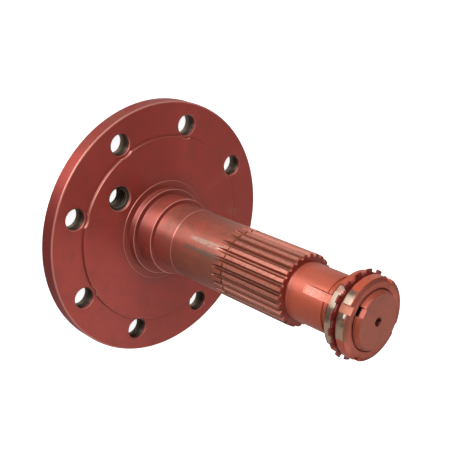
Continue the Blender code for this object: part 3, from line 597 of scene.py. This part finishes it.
bright = ragged.rise(-118, -113) * angle.rise(-96.8, -97.2) * (z + (cloud - 0.5) * 6).band(262.5, 271.6, 0.5)
below = angle.rise(-85.3, -84.9) * ragged.rise(-46, -54) * (z + (cloud - 0.5) * 5).band(261.5, 271.4, 0.8)
rubbed = (outside * (bright + below) * ((speck - 0.5) * 0.4 + 1)).limit()
coat = cloud.rise(0.5, 0.8).blend(SHAFT_RED, BROWN_RED)
# The rubbed steel is dull, khaki beyond about -70 degrees, and pale between about -108 and -93 degrees where the key
# lamp's highlight falls: a painted highlight on the worn steel; the glint is a painted highlight too
steel = ragged.rise(-76, -62).blend(DULL_STEEL, KHAKI_STEEL)
steel = (ragged.rise(-112, -104) * angle.rise(-92, -93)).blend(steel, BARE_STEEL)
glint = angle.band(-84.5, -79, 1) * z.band(269.2, 272, 0.6) * cloud.rise(0.3, 0.5)
steel = glint.blend(steel, (0.75, 0.66, 0.58, 1))
coat = rubbed.blend(coat, steel)
top = outer_finish.normal_z().rise(0.5, 0.93)
# The outer face and chamfers are painted darker, most between about -170 and -95 degrees: painted shade
coat = (top * (r.rise(30.4, 30.9) * angle.band(-170, -95, 20) * 0.4 + 0.35)).blend(coat, BROWN_RED)
coat = (top * r.rise(30.6, 31) * angle.band(-93, -45, 6) * 0.5).blend(coat, DULL_STEEL)
coat = (r.rise(31.4, 31.1) * r.rise(30.7, 30.9) * top.rise(0.9, 0.1) * 0.85).blend(coat, THIN_PRIMER)
outer_finish.set(Base_Color=coat, Metallic=0.5 + rubbed * 0.4, Roughness=0.48 - rubbed * 0.06,
                 Anisotropic=0.7, Anisotropic_Rotation=0.25)
outer_finish.set(Normal=outer_finish.bump(speck, GRAIN_HEIGHT, 0.4))
outer_nut.data.materials.clear()
outer_nut.data.materials.append(outer_finish.material)
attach(outer_nut, "root")
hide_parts("outer_ring_nut")

# ---- Studio: a pale shooting table under the part, lit by four far softboxes. Table and world are white to the
# camera. A reflection sees the table bright on one side only, as if a dark card stood on the other.

bm = bmesh.new()
bmesh.ops.create_circle(bm, cap_ends=True, radius=4.0, segments=64)
bmesh.ops.translate(bm, verts=bm.verts, vec=(0, 0, -0.0002))
table = piece("studio_table", bm)
cloth = bpy.data.materials.new("pale_table")
cloth.use_nodes = True
nodes, links = cloth.node_tree.nodes, cloth.node_tree.links
nodes.remove(nodes["Principled BSDF"])
place = Socket(cloth.node_tree, nodes.new("ShaderNodeTexCoord").outputs["Object"])
across = place.node("ShaderNodeSeparateXYZ", {}, {0: place}).socket.node.outputs
x, y = (Socket(cloth.node_tree, across[k]) for k in range(2))
rays = nodes.new("ShaderNodeLightPath").outputs
camera_ray, glossy_ray, through_ray = (Socket(cloth.node_tree, rays[f"Is {kind} Ray"])
                                       for kind in ("Camera", "Glossy", "Transmission"))
shining = (x * -0.87 - y * 0.5).rise(-0.02, 0.16) * 0.5
paper = place.node("ShaderNodeBsdfDiffuse", {}, {"Color": (0.8, 0.8, 0.8, 1)})
glow = place.node("ShaderNodeEmission", {}, {
    "Color": (1, 1, 1, 1), "Strength": (camera_ray + through_ray) * 0.9 + glossy_ray * (shining + 0.05)})
both = place.node("ShaderNodeAddShader", {}, {0: paper, 1: glow})
links.new(both.socket, nodes["Material Output"].inputs["Surface"])
table.data.materials.append(cloth)


def lamp(name, azimuth, elevation, strength, spread):
    # A large, far softbox, as a sun whose disc is spread degrees across
    data = bpy.data.lights.new(name, "SUN")
    data.energy, data.angle = strength, math.radians(spread)
    lamp_object = bpy.data.objects.new(name, data)
    direction = polar(math.cos(math.radians(elevation)), azimuth, math.sin(math.radians(elevation)))
    lamp_object.rotation_euler = direction.to_track_quat("Z", "Y").to_euler()
    bpy.context.scene.collection.objects.link(lamp_object)


lamp("key_strip", -104, 5.5, 6.1, 38)
lamp("back_softbox", 90, 43, 0.54, 22)
lamp("side_softbox", 45, 43, 0.84, 22)
lamp("top_softbox", -156, 47, 0.88, 22)

world = bpy.data.worlds.new("studio")
bpy.context.scene.world = world
world.use_nodes = True
sky = world.node_tree.nodes["Background"]
sky.inputs["Color"].default_value = (1, 1, 1, 1)
seen = Socket(world.node_tree, world.node_tree.nodes.new("ShaderNodeLightPath").outputs["Is Camera Ray"])
world.node_tree.links.new((seen * 0.92 + 0.08).socket, sky.inputs["Strength"])

camera_data = bpy.data.cameras.new("photo_camera")
camera_data.sensor_width, camera_data.lens = 36.0, 71.29
camera = bpy.data.objects.new("photo_camera", camera_data)
right, up, back = (-0.3720, 0.6342, 0.6778), (-0.9283, -0.2541, -0.2716), (0, -0.7302, 0.6832)
turned_to_part = Matrix((right, up, back)).transposed().to_4x4()
camera.matrix_world = Matrix.Translation((-0.023504, -0.594374, 0.653228)) @ turned_to_part
bpy.context.scene.collection.objects.link(camera)
bpy.context.scene.camera = camera
bpy.context.scene.view_settings.view_transform = "Standard"
